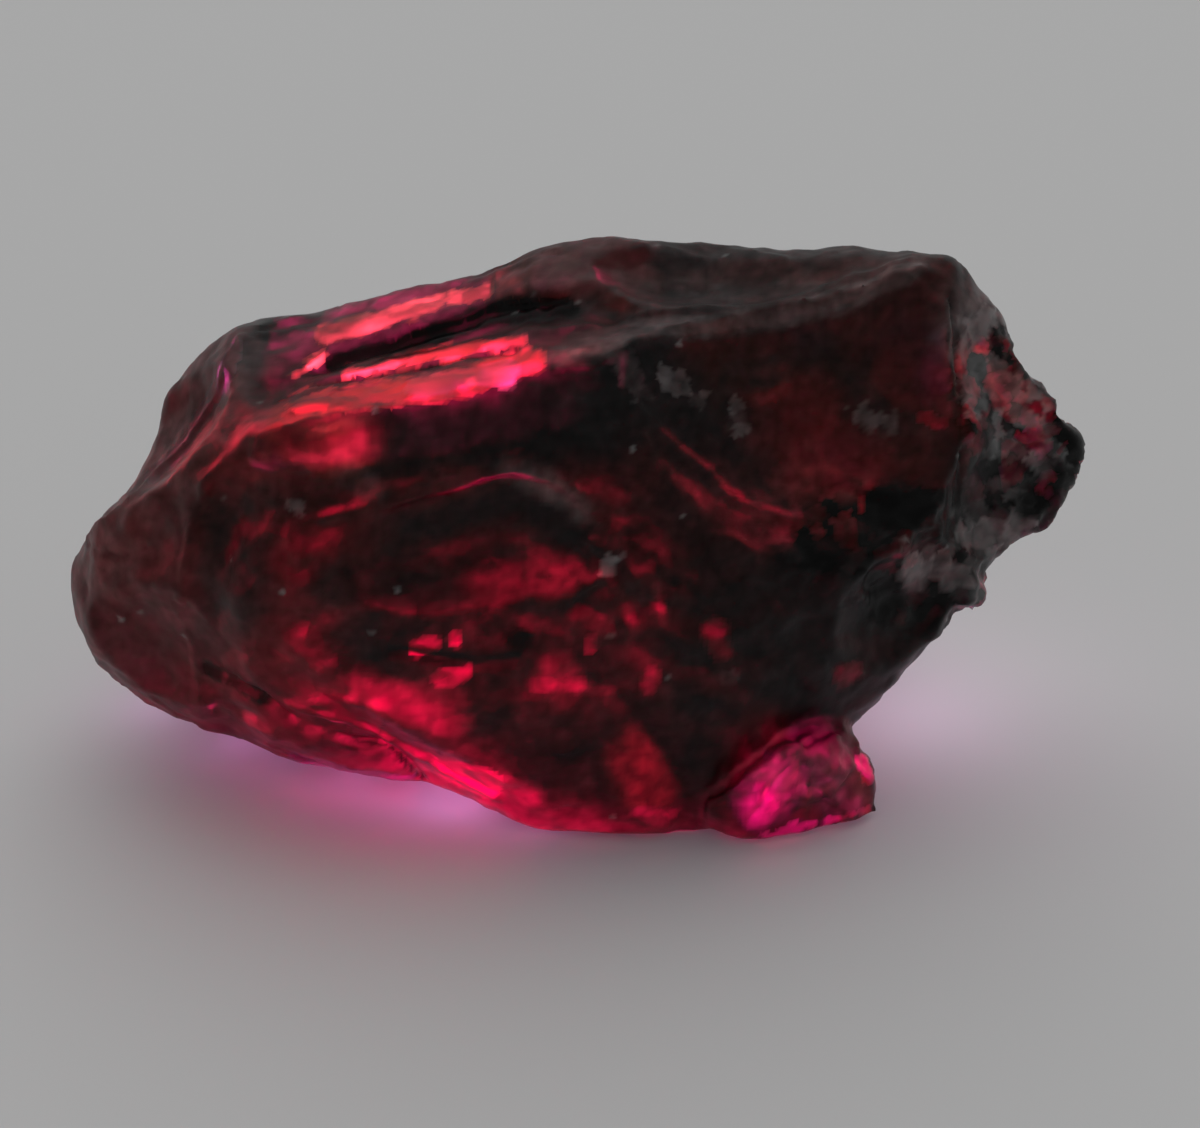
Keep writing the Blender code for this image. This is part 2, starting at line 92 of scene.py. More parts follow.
# Lines of the front, which leans back by 30 degrees. Its places are given flat, as on a drawing of
# it, in mm: across, and up from its lowest point, with the origin at ORIGIN_UP. A line has its
# points, its height (a groove's is negative), and how far its slope reaches above and below it.

FRONT_TILT = math.radians(30.0)
OUT_OF_FRONT = np.array((0.0, -math.cos(FRONT_TILT), math.sin(FRONT_TILT)))
UP_THE_FRONT = np.array((0.0, math.sin(FRONT_TILT), math.cos(FRONT_TILT)))
ORIGIN_UP = 3.127
FAR_OUT = 60.0
FLOOR_EDGE = (0.02, 0.27)
FACING_EDGE = (-0.3, 0.1)
LINES = {
    "upper flute": ([(-5.52, 10.04), (-5.14, 10.26), (-4.02, 10.55), (-2.91, 10.94), (-2.34, 11.10),
                     (-1.79, 11.34), (-0.95, 11.45), (-0.23, 11.58)], -0.15, 0.18, 0.26),
    "lower flute": ([(-6.33, 9.39), (-5.62, 9.74), (-4.81, 9.93), (-3.48, 10.11), (-2.51, 10.24),
                     (-1.79, 10.39), (-1.24, 10.48)], -0.09, 0.10, 0.12),
    "flute branch": ([(-6.06, 9.89), (-5.71, 10.20), (-5.32, 10.48)], 0.07, 0.12, 0.16),
    "roof line": ([(-6.83, 10.99), (-4.70, 11.67), (-3.80, 11.89), (-1.57, 12.39), (-0.36, 12.59)],
                  -0.06, 0.12, 0.14),
    "flute lip": ([(-6.06, 8.86), (-5.14, 9.04), (-4.02, 9.25), (-3.23, 9.21), (-2.12, 9.45),
                   (-1.35, 9.76), (-0.78, 9.91)], 0.06, 0.16, 0.20),
    "left ridge": ([(-7.16, 10.77), (-7.55, 9.78), (-7.93, 9.12), (-8.26, 8.57), (-8.70, 8.14),
                    (-9.02, 7.81), (-9.35, 7.37), (-9.90, 6.89), (-10.45, 6.49)], 0.12, 0.18, 0.26),
    "second ridge": ([(-7.45, 8.03), (-7.77, 7.68), (-7.99, 6.97), (-8.21, 6.05), (-8.37, 5.24)],
                     0.08, 0.16, 0.20),
    "arch ridge": ([(-5.25, 6.91), (-3.78, 7.21), (-2.80, 7.52), (-1.30, 7.94), (-0.52, 7.76),
                    (0.16, 7.39), (0.34, 6.95)], 0.10, 0.24, 0.16),
    "bevel top": ([(-0.36, 10.88), (1.74, 11.32), (2.88, 11.36), (4.31, 11.51), (5.38, 11.86),
                   (7.18, 12.46)], 0.06, 0.16, 0.16),
    "crest edge": ([(-0.36, 9.98), (0.38, 10.04), (1.30, 10.66), (2.88, 10.79), (4.18, 11.03),
                    (5.67, 11.40), (7.34, 12.24)], 0.09, 0.20, 0.14),
    "scoop rim": ([(1.30, 9.30), (1.90, 8.62), (2.66, 8.00), (3.26, 7.41), (3.87, 7.11),
                   (4.77, 6.86), (5.45, 6.71)], 0.06, 0.20, 0.34),
    "right groove": ([(7.95, 11.56), (8.10, 10.26), (8.17, 9.06), (8.17, 8.31), (8.10, 7.26)],
                     -0.10, 0.14, 0.14),
    "lap fold": ([(-5.08, 2.37), (-4.70, 2.21), (-4.02, 2.11), (-3.61, 1.73), (-3.28, 1.36)],
                 -0.12, 0.16, 0.20),
    "lap groove": ([(-7.91, 3.77), (-7.27, 3.51), (-6.66, 3.16), (-6.06, 2.72)], -0.10, 0.18, 0.16),
    "lap ridge": ([(-6.06, 2.98), (-4.97, 2.72), (-3.87, 2.21), (-2.77, 1.56), (-1.68, 1.01)],
                  0.08, 0.22, 0.20),
    "knob line": ([(-10.52, 6.49), (-10.23, 6.23), (-9.68, 6.14), (-9.13, 6.32)], -0.07, 0.14, 0.14),
    "belly groove": ([(-3.87, 4.12), (-2.99, 4.04), (-2.12, 3.86), (-1.24, 3.97)], -0.08, 0.16, 0.20),
    "foot line": ([(3.70, 0.46), (4.24, 1.45), (4.90, 2.15), (5.56, 2.37)], -0.08, 0.14, 0.14),
    "foot ridge": ([(4.86, 2.00), (5.01, 1.34), (4.90, 0.57)], 0.06, 0.14, 0.14),
}


def skin_points():
    """The places and outward directions of all points of the skin."""
    count = len(stone.data.vertices)
    places, normals = np.empty(count * 3), np.empty(count * 3)
    stone.data.vertices.foreach_get("co", places)
    stone.data.vertices.foreach_get("normal", normals)
    return places.reshape(-1, 3), normals.reshape(-1, 3)


def between(values, edges):
    """How far each value is from the first edge, 0, to the second, 1."""
    return np.clip((values - edges[0]) / (edges[1] - edges[0]), 0.0, 1.0)


def eased(share):
    return share * share * (3 - 2 * share)


def carve(heights):
    """Moves each point of the skin outwards by its height in mm. The resting face stays flat."""
    places, normals = skin_points()
    places += normals * (heights * between(places[:, 2], FLOOR_EDGE))[:, None]
    stone.data.vertices.foreach_set("co", places.ravel())
    stone.data.update()


def on_front(across, up):
    """The place on the skin that lies that far across and up the front."""
    start = Vector((across, 0, 0)) + Vector(UP_THE_FRONT) * (up - ORIGIN_UP) + Vector(OUT_OF_FRONT) * FAR_OUT
    return front.ray_cast(start, -Vector(OUT_OF_FRONT))[0]


def straight_parts(line):
    """The start and the run of each straight part of a line."""
    for start, end in zip(line[:-1], line[1:]):
        yield np.array(start), np.subtract(end, start)


def off_part(places, start, along):
    """The way to each place from the nearest point of a straight part."""
    share = np.clip((places - start) @ along / (along @ along), 0.0, 1.0)
    return places - (start + share[:, None] * along)


def draw_line(points, height, above, below):
    places, normals = skin_points()
    line = [np.array(place) for place in (on_front(*point) for point in points) if place]
    nearest = np.full(len(places), np.inf)
    side = np.zeros(len(places))
    for start, along in straight_parts(line):
        apart = off_part(places, start, along)
        distance = np.sqrt((apart**2).sum(1))
        closer = distance < nearest
        nearest[closer] = distance[closer]
        side[closer] = (np.cross(along, apart) @ OUT_OF_FRONT)[closer] * np.sign(along[0])
    slope = between(nearest / np.where(side > 0, above, below), (1.0, 0.0))
    carve(height * eased(slope) * between(normals @ OUT_OF_FRONT, FACING_EDGE))


front = BVHTree.FromObject(stone, bpy.context.evaluated_depsgraph_get())
for line in LINES.values():
    draw_line(*line)

# Chips, lumps and the rough places that they are in: middle across, up and in depth, and reach the
# same three ways. A kind of chip has its size in mm and its slope, lumps their height, size and seed.

ROUGH_PLACES = {
    "right end": ((9.6, 8.9, -1.2), (2.2, 3.2, 4.0)),
    "lower right": ((6.9, 6.1, -4.0), (3.4, 1.9, 2.8)),
    "foot": ((4.9, 1.3, -4.9), (2.0, 1.8, 2.4)),
    "middle": ((0.7, 5.6, -5.5), (2.2, 1.4, 2.2)),
    "back heel": ((3.6, 5.0, 4.6), (3.6, 2.4, 2.4)),
    "back left": ((-7.6, 6.6, 1.6), (2.6, 2.4, 3.0)),
}
ROUGH_EDGE = 0.35
NUB_PLACE = (8.34, 5.46)
NUB_REACH = 0.34
NUB_HEIGHT = 0.40
NUB_RIM = 0.8
LARGE_CHIPS = (1.0, 0.16)
SMALL_CHIPS = (0.45, 0.11)
OLD_CHIPS = (0.75, 0.22)
OLD_CHIPS_ROUGH = 0.7
OLD_CHIPS_ELSEWHERE = 0.4
CHIP_EDGE = 0.2
LEAST_SHARE = 0.01
TILT_SEED = 5.3
BROAD_LUMPS = (0.10, 1.5, 3.1)
FINE_LUMPS = (0.03, 0.4, 5.7)


def flattened(points):
    """Where each point is on the front, across and up."""
    return np.array([points[:, 0], ORIGIN_UP + points @ UP_THE_FRONT]).T


def in_place(points, middle, reach):
    """How much each point is in a rough place, from 0 outside it to 1."""
    away = (np.column_stack([flattened(points), points[:, 1]]) - middle) / reach
    return between(np.sqrt((away**2).sum(1)), (1.0, 1.0 - ROUGH_EDGE))


def chips(share, size, slope):
    """Small flat chips, each tilted its own way."""
    places, _ = skin_points()
    heights = np.zeros(len(places))
    for i in np.flatnonzero(share > LEAST_SHARE):
        place = Vector(places[i]) / size
        (near, next_near, *_), (middle, *_) = noise.voronoi(place)
        tilt = noise.cell_vector(middle * TILT_SEED) - Vector((0.5, 0.5, 0.5))
        edge = min(1.0, (next_near - near) / CHIP_EDGE)
        heights[i] = 2 * slope * size * tilt.dot(place - middle) * edge * share[i]
    carve(heights)


def lumps(height, size, seed):
    """Low uneven relief over the whole skin."""
    places, _ = skin_points()
    shift = Vector((seed, -seed, 2 * seed))
    carve(height * np.array([noise.noise(Vector(place) / size + shift) for place in places]))


places, normals = skin_points()
to_nub = np.hypot(*(flattened(places) - NUB_PLACE).T) / NUB_REACH
carve(NUB_HEIGHT * np.exp(-to_nub**4) * between(np.abs(normals @ OUT_OF_FRONT), (NUB_RIM, 0.0)))
lumps(*BROAD_LUMPS)
places, _ = skin_points()
rough = np.maximum.reduce([in_place(places, *place) for place in ROUGH_PLACES.values()])
chips(rough, *LARGE_CHIPS)
chips(rough, *SMALL_CHIPS)
chips(np.maximum(OLD_CHIPS_ROUGH * rough, OLD_CHIPS_ELSEWHERE), *OLD_CHIPS)
lumps(*FINE_LUMPS)

# A thin crack runs in from the back, under the flutes. Light that comes down through the flutes
# is mirrored by it, back up and out to the bright side, which is why they shine. It is a square
# grid drawn in to a round sheet, with long and short waves.

CRACK_MIDDLE = (-3.3, -0.5, 8.0)
CRACK_REACH = (3.3, 3.1)
CRACK_GAP = 0.06
CRACK_CELLS = 34
CRACK_WAVES = ((0.22, 2.4), (0.05, 0.7))

bpy.ops.object.select_all(action="DESELECT")
bpy.ops.mesh.primitive_grid_add(
    x_subdivisions=CRACK_CELLS, y_subdivisions=CRACK_CELLS, size=2.0, location=(0, 0, 0)
)
crack = bpy.context.object
for vert in crack.data.vertices:
    x, y, _ = vert.co
    across = CRACK_REACH[0] * x * math.sqrt(1 - y * y / 2)
    inwards = CRACK_REACH[1] * y * math.sqrt(1 - x * x / 2)
    place = Vector((across, inwards, 0.0))
    place.z = sum(height * noise.noise(place / size) for height, size in CRACK_WAVES)
    vert.co = place + Vector(CRACK_MIDDLE)
wall = crack.modifiers.new("gap", "SOLIDIFY")
wall.thickness = CRACK_GAP
wall.offset = 0.0
apply_all(crack)
cut = stone.modifiers.new("crack", "BOOLEAN")
cut.operation = "DIFFERENCE"
cut.object = crack
apply_all(stone)
crack_walls = BVHTree.FromObject(crack, bpy.context.evaluated_depsgraph_get())
bpy.data.objects.remove(crack)

# The skin. It is old and uneven all over, so only part of the light gets through it, least of all in front,
# and each colour by its own share. How much gets through on the front is painted glow and painted shade,
# given place by place. A place has its points on the front, its half width, and how much of the light it
# takes away or lets through, or how dusty it is, and for a glow its colour.

# How much light the skin lets through: painted glow over the front, stronger on the left than on the right,
# and an even share at the back.
LEFT_PAINTED_GLOW = 0.42
RIGHT_PAINTED_GLOW = 0.065
SIDE_EDGE = (2.0, -2.0)
BACK_SHARE = 0.35
BACK_TINT = (1.0, 0.50, 0.78)
# Colours of the painted glow.
WARM = (1.0, 0.45, 0.18)
RED = (1.0, 0.16, 0.35)
ROSE = (1.0, 0.40, 0.85)
ORANGE = (1.0, 0.45, 0.22)
CORAL = (1.0, 1.0, 0.45)

# Painted shade: darker than the skin around them, and fading out.

PAINTED_SHADE_PLACES = (
    # roof and flutes
    ([(-6.40, 10.00), (-1.20, 11.40)], 1.40, 0.85),
    ([(-0.80, 11.20), (0.40, 10.90)], 0.50, 0.70),
    # under the flutes
    ([(-5.20, 8.60), (-3.20, 8.75), (0.40, 9.20)], 0.90, 0.99),
    ([(-4.00, 8.40), (0.40, 8.80)], 0.90, 0.93),
    ([(-0.80, 9.40), (0.20, 9.60), (1.20, 10.20)], 0.70, 0.97),
    # left end
    ([(-7.60, 6.90), (-7.10, 5.20)], 0.75, 0.85),
    ([(-6.50, 7.20), (-6.75, 6.20)], 0.50, 0.85),
    ([(-5.80, 7.10), (-4.20, 7.40)], 0.45, 0.80),
    # under the arch
    ([(-3.60, 6.70), (-1.30, 7.30), (-0.10, 6.60)], 0.50, 0.85),
    ([(-3.60, 5.70), (0.40, 5.80)], 1.00, 0.91),
    ([(-5.00, 5.50), (-2.60, 5.40)], 0.65, 0.93),
    # belly and hem
    ([(-4.40, 4.10), (0.40, 4.00)], 0.90, 0.95),
    ([(-3.90, 3.60), (-2.60, 3.00)], 0.60, 0.72),
    ([(-2.60, 2.95), (0.70, 2.40)], 1.15, 0.96),
    ([(-5.70, 2.35), (-4.30, 2.10)], 0.35, 0.75),
    ([(-1.60, 2.00), (1.00, 1.30)], 1.00, 0.70),
    ([(-0.80, 1.40), (2.40, 1.50)], 0.80, 0.92),
    # scoop and lower right
    ([(1.50, 9.40), (3.60, 9.60), (5.20, 9.90)], 0.95, 0.75),
    ([(3.20, 5.00), (7.40, 4.40)], 1.40, 0.75),
    ([(2.20, 3.40), (5.50, 3.40)], 0.90, 0.85),
    ([(2.60, 2.80), (2.90, 1.20)], 0.60, 0.85),
)

# Painted glow, fading out softly.

PAINTED_GLOW_PLACES = (
    # roof and left end
    ([(-1.35, 12.08), (-0.36, 12.46)], 0.50, 0.40, WARM),
    ([(-0.36, 12.30), (0.95, 12.59)], 0.80, 0.45, RED),
    ([(-6.06, 8.68), (-4.97, 8.42)], 0.70, 0.60, WARM),
    ([(-7.10, 9.60), (-6.70, 8.90)], 0.60, 0.35, RED),
    ([(-6.60, 7.60), (-4.60, 7.00)], 1.00, 0.20, RED),
    # arch and middle
    ([(-5.25, 7.05), (-3.78, 7.35), (-2.80, 7.66), (-1.30, 8.05)], 0.30, 0.05, RED),
    ([(-1.80, 5.75), (0.80, 5.70)], 0.60, 0.07, RED),
    ([(-0.42, 3.80), (-0.20, 3.40)], 0.40, 0.14, RED),
    # belly and hem
    ([(-6.50, 2.70), (-3.20, 2.70)], 0.80, 0.26, RED),
    ([(-5.60, 3.30), (-4.40, 2.80)], 0.60, 0.60, RED),
    ([(-1.90, 1.24), (-1.10, 0.90)], 0.36, 0.28, RED),
    ([(1.26, 1.90), (1.57, 1.05)], 0.55, 0.09, ORANGE),
    ([(1.30, 0.70), (2.10, 0.64)], 0.12, 0.16, RED),
    # scoop
    ([(4.60, 8.80), (5.70, 7.70)], 1.10, 0.28, RED),
    ([(1.90, 8.62), (2.66, 8.00), (3.26, 7.35), (3.87, 7.05), (4.77, 6.80), (5.45, 6.65)], 0.34, 0.06, RED),
    ([(3.30, 7.30), (3.87, 7.00), (4.68, 6.83)], 0.28, 0.18, RED),
    # foot, right end and nub
    ([(5.15, 2.10), (5.78, 1.01)], 0.65, 0.14, ROSE),
    ([(4.40, 1.40), (3.95, 0.85)], 0.46, 0.60, ROSE),
    ([(8.60, 9.90), (9.60, 8.20), (9.80, 7.20)], 1.10, 0.32, ROSE),
    ([(8.60, 5.50), (8.80, 5.40)], 0.34, 1.00, ROSE),
    # small red spots
    ([(0.34, 4.36), (0.34, 4.19)], 0.14, 0.30, RED),
    ([(-0.70, 3.46), (-0.60, 3.44)], 0.22, 0.30, RED),
    ([(-0.05, 3.40), (-0.01, 3.38)], 0.18, 0.30, RED),
    ([(2.93, 4.56), (3.06, 4.19)], 0.22, 0.45, RED),
    ([(1.72, 5.18), (1.72, 5.04)], 0.18, 0.20, RED),
    ([(1.61, 3.64), (1.55, 3.36)], 0.16, 0.22, RED),
    ([(5.62, 3.60), (5.98, 3.71)], 0.16, 0.30, RED),
)

# Painted glow with a plain edge, on skin that is clear and fresh: less rough and without dust.

CLEAR_PAINTED_GLOW_PLACES = (
    # strips between the flutes
    ([(-5.40, 10.90), (-4.20, 11.16), (-2.97, 11.56)], 0.24, 0.62, WARM),
    ([(-2.62, 11.60), (-1.90, 11.74)], 0.19, 0.95, WARM),
    ([(-4.81, 10.04), (-3.43, 10.33), (-1.17, 10.68)], 0.16, 1.00, WARM),
    ([(-3.60, 9.56), (-2.34, 9.76), (-0.95, 10.24)], 0.34, 1.00, WARM),
    ([(-3.30, 9.66), (-1.40, 10.00)], 0.28, 1.00, CORAL),
    ([(-5.80, 9.36), (-4.05, 9.54)], 0.34, 0.95, WARM),
    ([(-5.89, 10.00), (-5.41, 10.39)], 0.12, 0.95, WARM),
    # left ridge
    ([(-7.25, 10.61), (-7.55, 9.78), (-7.93, 9.12), (-8.48, 8.36), (-9.02, 7.81)], 0.18, 0.65, ROSE),
    # hem
    ([(-7.97, 3.25), (-7.55, 2.81)], 0.20, 0.60, RED),
    ([(-7.27, 3.16), (-6.68, 2.28)], 0.22, 0.60, RED),
    ([(-5.25, 3.00), (-4.40, 2.60)], 0.34, 1.00, RED),
    ([(-3.90, 2.30), (-3.15, 1.80)], 0.34, 0.65, RED),
    ([(-2.80, 1.66), (-1.85, 1.26)], 0.34, 0.82, RED),
    ([(-6.06, 1.80), (-4.85, 1.45), (-3.59, 1.30)], 0.17, 0.55, ROSE),
    # belly
    ([(-3.30, 4.23), (-3.04, 4.28)], 0.20, 0.70, RED),
    ([(-2.53, 4.41), (-2.53, 4.36)], 0.16, 0.85, RED),
    ([(-2.85, 3.50), (-2.29, 3.70)], 0.20, 0.35, RED),
    # foot
    ([(3.95, 1.20), (4.15, 0.85)], 0.22, 1.00, ROSE),
    ([(6.13, 1.73), (6.24, 1.40)], 0.13, 0.65, ROSE),
    ([(4.02, 0.13), (6.22, 0.66)], 0.10, 0.60, ROSE),
    # right end
    ([(9.59, 8.73), (10.21, 8.77)], 0.22, 0.80, ROSE),
    ([(9.80, 7.30), (10.60, 7.70)], 0.46, 0.90, ROSE),
    ([(7.36, 9.08), (7.75, 8.95)], 0.14, 0.30, ROSE),
)

# Painted shade with a plain edge in fresh grooves and spots, which are also less rough and without dust.

FRESH_PAINTED_SHADE_PLACES = (
    # roof and flutes
    ([(-6.50, 11.05), (-5.80, 11.35)], 0.45, 0.80),
    ([(-5.14, 10.20), (-4.02, 10.48), (-2.91, 10.85)], 0.29, 0.97),
    ([(-2.91, 10.88), (-1.79, 11.26), (-0.20, 11.40)], 0.36, 0.88),
    ([(-6.33, 9.39), (-4.46, 9.91), (-2.51, 10.20), (-1.79, 10.39)], 0.07, 0.85),
    # belly and hem
    ([(-1.22, 4.43), (-1.18, 4.40)], 0.34, 0.85),
    ([(-3.35, 3.98), (-2.60, 3.95)], 0.10, 0.70),
    ([(-4.70, 2.21), (-4.02, 2.11), (-3.28, 1.36)], 0.12, 0.80),
    ([(-7.91, 3.77), (-6.66, 3.16)], 0.16, 0.70),
    # right groove
    ([(7.95, 11.56), (8.17, 9.06), (8.10, 7.26)], 0.14, 0.60),
)

# Dusty, and fading out.

DUSTY_PLACES = (
    # roof
    ([(-7.00, 11.2), (-5.20, 11.5)], 0.45, 0.20),
    ([(0.00, 11.70), (6.60, 12.60)], 0.90, 0.12),
    ([(-0.36, 10.30), (1.30, 10.86), (2.88, 10.98), (4.24, 11.17), (5.60, 11.52), (7.26, 12.30)],
     0.24, 0.38),
    # left end
    ([(-10.2, 6.10), (-9.40, 7.00), (-8.40, 8.60), (-7.40, 10.4)], 1.00, 0.18),
    ([(-9.60, 4.30), (-8.20, 5.40)], 1.20, 0.10),
    # arch
    ([(-1.40, 7.95), (-0.50, 7.60), (0.10, 7.10)], 0.30, 0.30),
    ([(-4.70, 7.80), (-4.20, 7.50)], 0.35, 0.20),
    # right end and nub
    ([(8.70, 11.00), (9.30, 9.20), (9.50, 7.60)], 0.95, 0.90),
    ([(10.10, 9.00), (10.60, 7.70)], 0.55, 0.70),
    ([(7.30, 6.10), (9.40, 6.60)], 0.65, 0.70),
    ([(8.60, 5.50), (8.80, 5.40)], 0.34, 0.60),
    # foot
    ([(4.10, 1.80), (5.90, 1.00)], 0.70, 0.22),
)

# Single facets and specks with dust on them.

DUSTY_FACETS = (
    # right end
    ([(8.45, 11.00), (8.90, 11.25)], 0.34, 1.00),
    ([(8.35, 9.80), (8.55, 9.40)], 0.28, 1.00),
    ([(8.55, 10.30), (9.20, 9.70)], 0.42, 0.75),
    ([(9.00, 6.60), (9.65, 6.95)], 0.30, 0.85),
    ([(7.20, 6.00), (8.30, 5.65)], 0.32, 0.60),
    ([(8.35, 6.50), (8.95, 6.60)], 0.28, 0.70),
    # chips by the scoop
    ([(0.95, 10.30), (1.30, 9.60)], 0.30, 0.20),
    ([(1.85, 9.80), (2.50, 9.58)], 0.24, 0.60),
    ([(3.28, 9.50), (3.40, 8.75)], 0.18, 0.50),
    ([(6.10, 9.12), (6.60, 9.00)], 0.30, 0.55),
    # specks
    ([(4.14, 10.70), (4.20, 10.66)], 0.09, 1.00),
    ([(4.82, 9.84), (4.88, 9.80)], 0.09, 0.80),
    ([(6.84, 8.42), (6.90, 8.36)], 0.08, 0.90),
    ([(3.90, 8.02), (3.96, 7.98)], 0.09, 0.90),
    ([(0.60, 5.72), (0.68, 5.82)], 0.13, 0.90),
    ([(0.98, 6.28), (1.06, 6.20)], 0.11, 0.90),
    ([(3.05, 3.70), (3.15, 3.64)], 0.12, 0.60),
    ([(4.68, 3.92), (4.76, 3.88)], 0.09, 0.60),
    ([(-5.90, 7.08), (-5.84, 7.04)], 0.09, 0.70),
    ([(-7.40, 7.30), (-7.32, 7.24)], 0.08, 0.60),
)

BARE_DUST = 0.05
DUST_TINT_AND_GLOW = (0.10, 0.05, 0.05)
OLD_ROUGHNESS = 0.42
FRESH_ROUGHNESS = 0.28
FRESH_REACH = 1.4
EDGE_WAVES = ((0.10, 0.55), (0.06, 0.22))
PLACE_EDGE = (1.1, 0.6)
FADE_POWER = 3
MOTTLE_SIZES = (0.9, 0.35, 0.18)
MOTTLE_DEPTH = 0.6
FACET_SIZES = (0.9, 0.4)
FACET_DUST = (-0.5, 1.0, 0.0)
FACET_TINT = (-0.45, 1.2, 9.0)
FACET_SEED = 7.7
SMALL_FACET = 0.3
SPECK_SPACING = 0.7
SPECK_REACH = 0.13
SPECK_EDGE = 0.04
SPECK_SEED = 3.1
FRONT_EDGE = (-0.22, -0.02)
BACK_PATCHES = ((0.7, 1.6), (0.45, 0.6))


def from_line(places, points):
    """How far each place is from a line, both on the front."""
    nearest = np.full(len(places), np.inf)
    for start, along in straight_parts(points):
        nearest = np.minimum(nearest, np.hypot(*off_part(places, start, along).T))
    return nearest


def grain(places, size):
    """Smooth noise at each place, from about -1 to 1, with lumps of that size in mm."""
    return np.array([noise.noise(Vector(place) / size) for place in places])


def facet_shade(places, size, least, spread, shift):
    """A number at each place, the same all over each small facet, from the least up by the spread."""
    middles = [noise.voronoi(Vector(place) / size + Vector((shift, 0, 0)))[1][0] for place in places]
    return least + spread * np.array([noise.cell(middle * FACET_SEED) for middle in middles])


def within(distance, half_width):
    """How much each point of the skin is in a place that ends plainly."""
    return eased(between(distance / half_width, PLACE_EDGE))


def softly(distance, half_width):
    """The same for a place that fades out."""
    return np.exp(-((np.maximum(distance, 0.0) / half_width) ** FADE_POWER))


places, normals = skin_points()
flat = flattened(places)
wave = sum(height * grain(places, size) for height, size in EDGE_WAVES)
mottle = np.prod([1.0 + MOTTLE_DEPTH * grain(places, size) for size in MOTTLE_SIZES], axis=0)
# Painted glow over the front, fading from the left to the right, with painted shade taken out of it place by
# place.
share = RIGHT_PAINTED_GLOW + (LEFT_PAINTED_GLOW - RIGHT_PAINTED_GLOW) * between(places[:, 0], SIDE_EDGE)
for points, half_width, loss in PAINTED_SHADE_PLACES:
    share *= 1.0 - loss * softly(from_line(flat, points) + wave, half_width)
tint_and_painted_glow = share[:, None] * np.array(RED)
for points, half_width, strength, colour in PAINTED_GLOW_PLACES:
    glow = strength * softly(from_line(flat, points) + wave, half_width)
    tint_and_painted_glow = np.maximum(tint_and_painted_glow, glow[:, None] * np.array(colour))
fresh = np.zeros(len(places))
for points, half_width, strength, colour in CLEAR_PAINTED_GLOW_PLACES:
    clear = strength * within(from_line(flat, points) + wave, half_width)
    fresh = np.maximum(fresh, clear)
    tint_and_painted_glow = np.maximum(tint_and_painted_glow, clear[:, None] * np.array(colour))
for points, half_width, loss in FRESH_PAINTED_SHADE_PLACES:
    dark = loss * within(from_line(flat, points) + wave, half_width)
    fresh = np.maximum(fresh, dark)
    tint_and_painted_glow *= 1.0 - dark[:, None]
tint_and_painted_glow *= 1.0 + (mottle[:, None] - 1.0) * (1.0 - tint_and_painted_glow[:, :1])

# Dust lies on old places, on single facets and in specks. The broken right end has facets that
# differ in dust and in clearness.

dust = np.full(len(places), BARE_DUST)
for points, half_width, amount in DUSTY_PLACES:
    dust = np.maximum(dust, amount * softly(from_line(flat, points) + wave, half_width))
broken = np.maximum(*(in_place(places, *ROUGH_PLACES[name]) for name in ("right end", "lower right")))
for size in FACET_SIZES:
    dust *= 1.0 + broken * facet_shade(places, size, *FACET_DUST)
    tint_and_painted_glow *= (1.0 + broken * facet_shade(places, size, *FACET_TINT))[:, None]
middles = [noise.voronoi(Vector(place) / SMALL_FACET)[1][0] for place in places]
facets = flattened(np.array(middles) * SMALL_FACET)
for points, half_width, amount in DUSTY_FACETS:
    dust = np.maximum(dust, amount * within(from_line(facets, points), half_width))
dust = np.clip(dust * mottle, 0.0, 1.0) * (1.0 - fresh)
# Dusty places also get a little painted red glow in the tint, so that their sheen looks mauve.
tint_and_painted_glow += dust[:, None] * np.array(DUST_TINT_AND_GLOW)
for i, place in enumerate(places):
    (apart, *_), (middle, *_) = noise.voronoi(Vector(place) / SPECK_SPACING)
    reach = SPECK_REACH * noise.cell(middle * SPECK_SEED) ** 2
    dust[i] = max(dust[i], between(apart, (reach, reach - SPECK_EDGE)))

# The back is plainer: an even tint with large patches, and the crack's walls are clear and clean. The
# painted glow and shade stay on the front and fade out where the skin turns away from it.

smooth = np.array([front.find_nearest(Vector(place))[1] for place in places])
frontness = between(smooth @ OUT_OF_FRONT, FRONT_EDGE)
back = BACK_SHARE * np.prod([1.0 + height * grain(places, size) for height, size in BACK_PATCHES], axis=0)
for i, place in enumerate(places):
    if crack_walls.find_nearest(Vector(place), CRACK_GAP)[0]:
        frontness[i] = 0.0
        back[i] = 1.0
        dust[i] = 0.0
back = back[:, None] * np.array(BACK_TINT)
tint_and_painted_glow = np.clip(back + frontness[:, None] * (tint_and_painted_glow - back), 0.0, 1.0)
freshness = np.clip(FRESH_REACH * fresh + 1.0 - frontness, 0.0, 1.0)
dullness = OLD_ROUGHNESS + (FRESH_ROUGHNESS - OLD_ROUGHNESS) * freshness


def keep_on_skin(name, values):
    layer = stone.data.color_attributes.new(name, "FLOAT_COLOR", "POINT")
    layer.data.foreach_set("color", np.hstack([values, np.ones((len(values), 1))]).ravel())


# Light that passes the skin is tinted by the square root of its colour, so the tint is squared.

keep_on_skin("skin_tint_and_painted_glow", tint_and_painted_glow**2)
keep_on_skin("skin_dust", np.repeat(dust[:, None], 3, axis=1))
keep_on_skin("skin_dullness", np.repeat(dullness[:, None], 3, axis=1))

stone.data.transform(Matrix.Scale(MM, 4))
select_only(stone)
bpy.ops.object.shade_smooth()

# Clear red garnet. The light is taken up on its way through the stone, green most of all. Dust is a
# dull grey coat, and a fine grain under 0.03 mm high breaks up what the skin mirrors.

